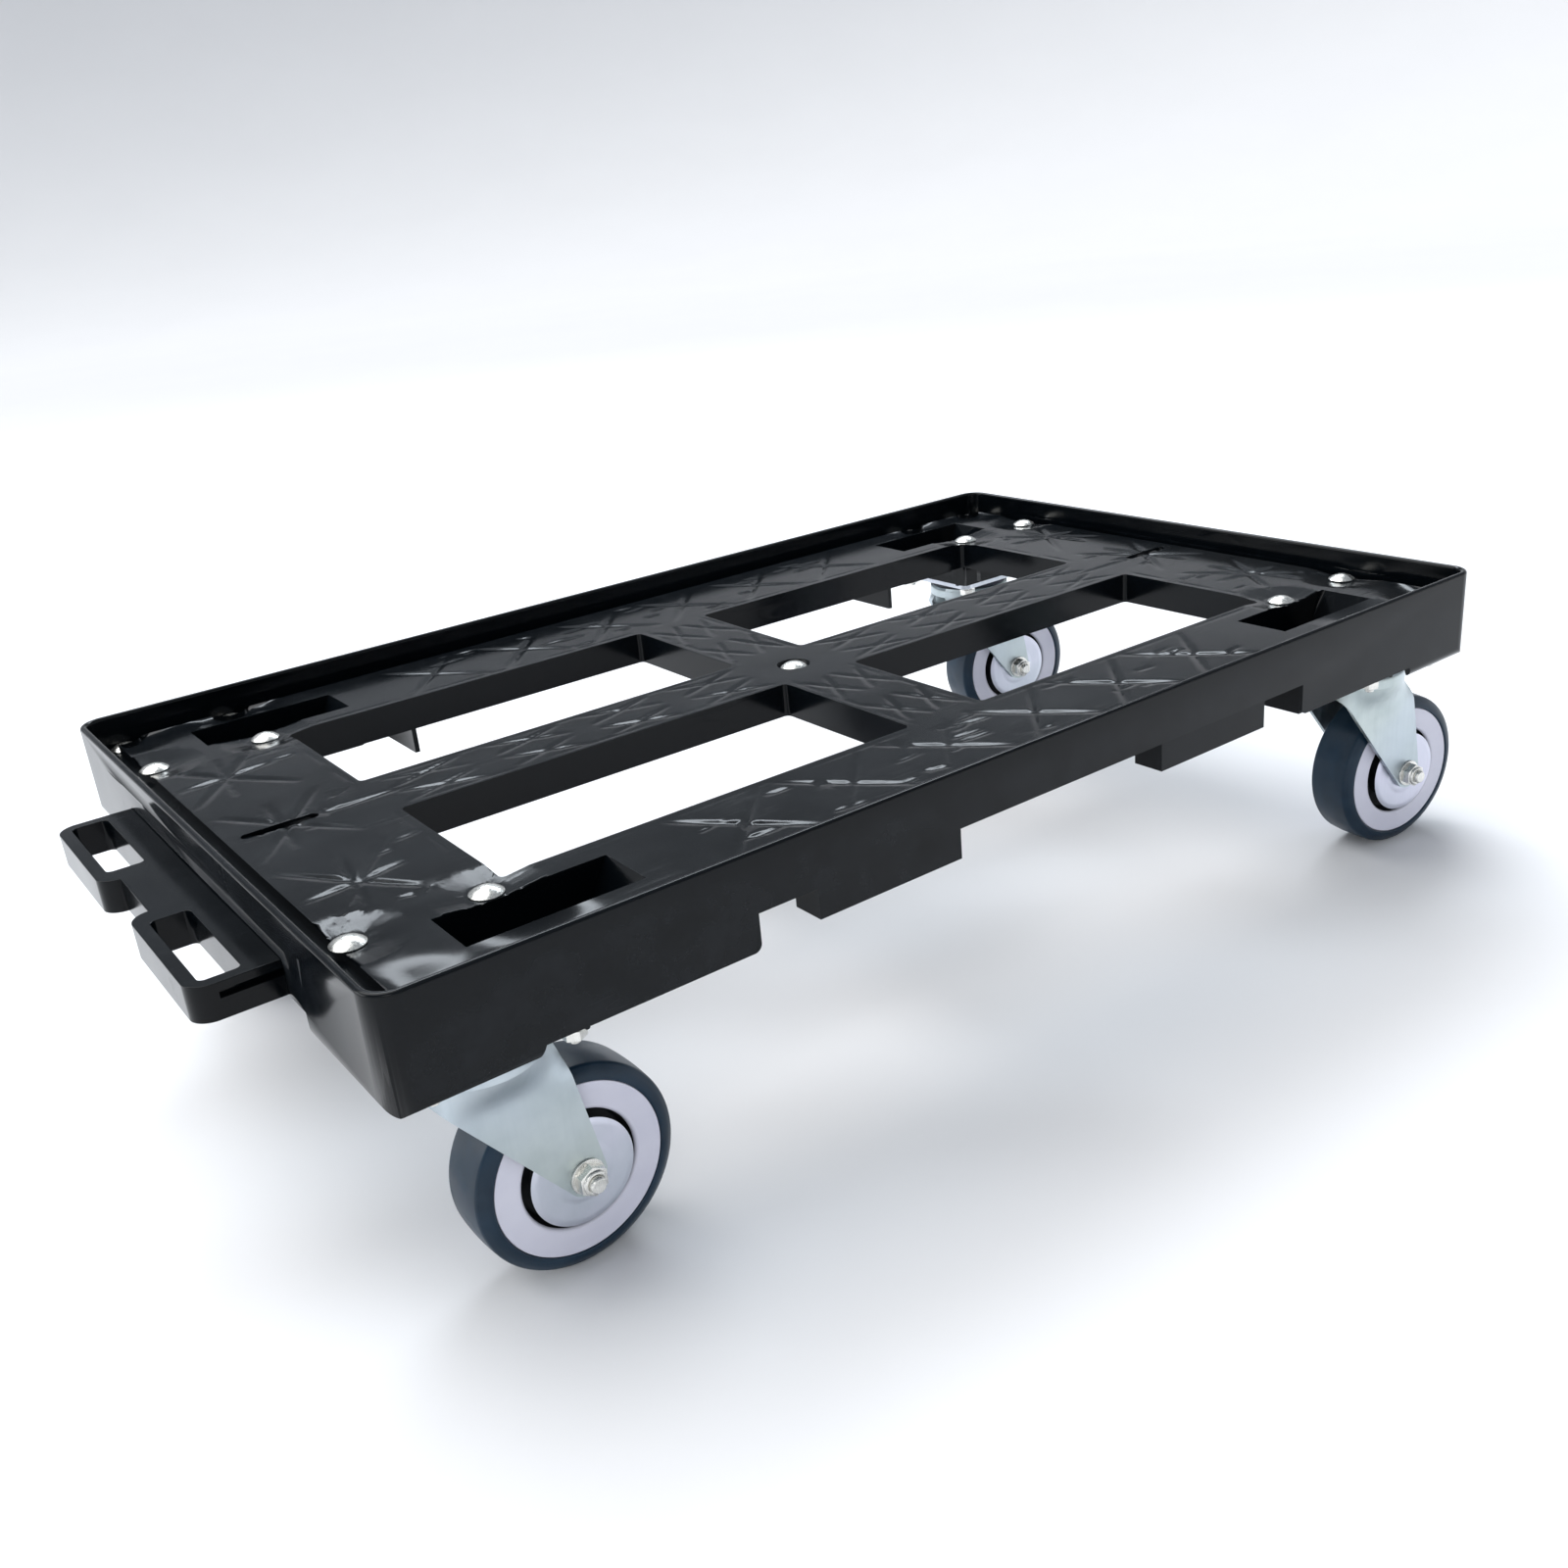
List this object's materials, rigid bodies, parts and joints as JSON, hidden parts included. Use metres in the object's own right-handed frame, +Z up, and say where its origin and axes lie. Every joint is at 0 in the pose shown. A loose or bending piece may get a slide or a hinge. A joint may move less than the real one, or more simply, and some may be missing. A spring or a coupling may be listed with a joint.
{
  "type": "platform dolly",
  "caption": "Flat moulded platform dolly with a rimmed, windowed deck, swivel casters at the corners and a sliding coupling tongue at one end.",
  "frame": {"origin": "centre of the overall footprint, on the floor", "axes": "+X along the deck, away from the coupling tongue; +Y across the deck; +Z up"},
  "size_m": [0.7892, 0.445, 0.184],
  "materials": {
    "black_plastic": "satin-gloss moulded black polypropylene",
    "bright_steel": "bright zinc-plated steel",
    "zinc_plate": "pale blue-passivated zinc plate on pressed steel",
    "guard_zinc": "pale zinc plate on thin pressed steel",
    "seal_rubber": "matt dark rubber",
    "core_plastic": "satin off-white nylon",
    "tread": "satin blue-grey thermoplastic rubber"
  },
  "bodies": {
    "platform": {"deck": "black_plastic", "caster_bolts": "bright_steel", "caster_washers": "bright_steel", "caster_nuts": "bright_steel", "centre_bolt": "bright_steel", "centre_washer": "bright_steel", "centre_nut": "bright_steel", "front_left_top_plate": "zinc_plate", "front_left_kingpin": "bright_steel", "front_right_top_plate": "zinc_plate", "front_right_kingpin": "bright_steel", "rear_left_top_plate": "zinc_plate", "rear_left_kingpin": "bright_steel", "rear_right_top_plate": "zinc_plate", "rear_right_kingpin": "bright_steel"},
    "tongue": {"coupling_tongue": "black_plastic", "guide_peg": "black_plastic"},
    "front_left_swivel": {"front_left_fork": "zinc_plate", "front_left_swivel_balls": "bright_steel", "front_left_seal_ring": "seal_rubber", "front_left_thread_guards": "guard_zinc", "front_left_axle_bolt": "bright_steel", "front_left_axle_nut": "bright_steel", "front_left_axle_sleeve": "bright_steel"},
    "front_left_wheel": {"front_left_wheel_core": "core_plastic", "front_left_tyre": "tread", "front_left_wheel_bearings": "bright_steel"},
    "front_right_swivel": {"front_right_fork": "zinc_plate", "front_right_swivel_balls": "bright_steel", "front_right_seal_ring": "seal_rubber", "front_right_thread_guards": "guard_zinc", "front_right_axle_bolt": "bright_steel", "front_right_axle_nut": "bright_steel", "front_right_axle_sleeve": "bright_steel"},
    "front_right_wheel": {"front_right_wheel_core": "core_plastic", "front_right_tyre": "tread", "front_right_wheel_bearings": "bright_steel"},
    "rear_left_swivel": {"rear_left_fork": "zinc_plate", "rear_left_swivel_balls": "bright_steel", "rear_left_seal_ring": "seal_rubber", "rear_left_thread_guards": "guard_zinc", "rear_left_axle_bolt": "bright_steel", "rear_left_axle_nut": "bright_steel", "rear_left_axle_sleeve": "bright_steel"},
    "rear_left_wheel": {"rear_left_wheel_core": "core_plastic", "rear_left_tyre": "tread", "rear_left_wheel_bearings": "bright_steel"},
    "rear_right_swivel": {"rear_right_fork": "zinc_plate", "rear_right_swivel_balls": "bright_steel", "rear_right_seal_ring": "seal_rubber", "rear_right_thread_guards": "guard_zinc", "rear_right_axle_bolt": "bright_steel", "rear_right_axle_nut": "bright_steel", "rear_right_axle_sleeve": "bright_steel"},
    "rear_right_wheel": {"rear_right_wheel_core": "core_plastic", "rear_right_tyre": "tread", "rear_right_wheel_bearings": "bright_steel"}
  },
  "joints": [
    {"name": "tongue_slide", "type": "slide", "parent": "platform", "child": "tongue", "axis": [1, 0, 0], "range_m": [0, 0.032]},
    {"name": "front_left_swivel_turn", "type": "hinge", "parent": "platform", "child": "front_left_swivel", "pos_m": [-0.30308, -0.176, 0.136], "axis": [0, 0, 1], "continuous": true},
    {"name": "front_left_wheel_spin", "type": "hinge", "parent": "front_left_swivel", "child": "front_left_wheel", "pos_m": [-0.27108, -0.17544, 0.05], "axis": [-0.0175, 0.9998, 0], "continuous": true},
    {"name": "front_right_swivel_turn", "type": "hinge", "parent": "platform", "child": "front_right_swivel", "pos_m": [-0.30308, 0.176, 0.136], "axis": [0, 0, 1], "continuous": true},
    {"name": "front_right_wheel_spin", "type": "hinge", "parent": "front_right_swivel", "child": "front_right_wheel", "pos_m": [-0.2712, 0.17879, 0.05], "axis": [-0.0872, 0.9962, 0], "continuous": true},
    {"name": "rear_left_swivel_turn", "type": "hinge", "parent": "platform", "child": "rear_left_swivel", "pos_m": [0.31192, -0.176, 0.136], "axis": [0, 0, 1], "continuous": true},
    {"name": "rear_left_wheel_spin", "type": "hinge", "parent": "rear_left_swivel", "child": "rear_left_wheel", "pos_m": [0.34361, -0.18045, 0.05], "axis": [0.1392, 0.9903, 0], "continuous": true},
    {"name": "rear_right_swivel_turn", "type": "hinge", "parent": "platform", "child": "rear_right_swivel", "pos_m": [0.31192, 0.176, 0.136], "axis": [0, 0, 1], "continuous": true},
    {"name": "rear_right_wheel_spin", "type": "hinge", "parent": "rear_right_swivel", "child": "rear_right_wheel", "pos_m": [0.34353, 0.17099, 0.05], "axis": [0.1564, 0.9877, 0], "continuous": true}
  ]
}
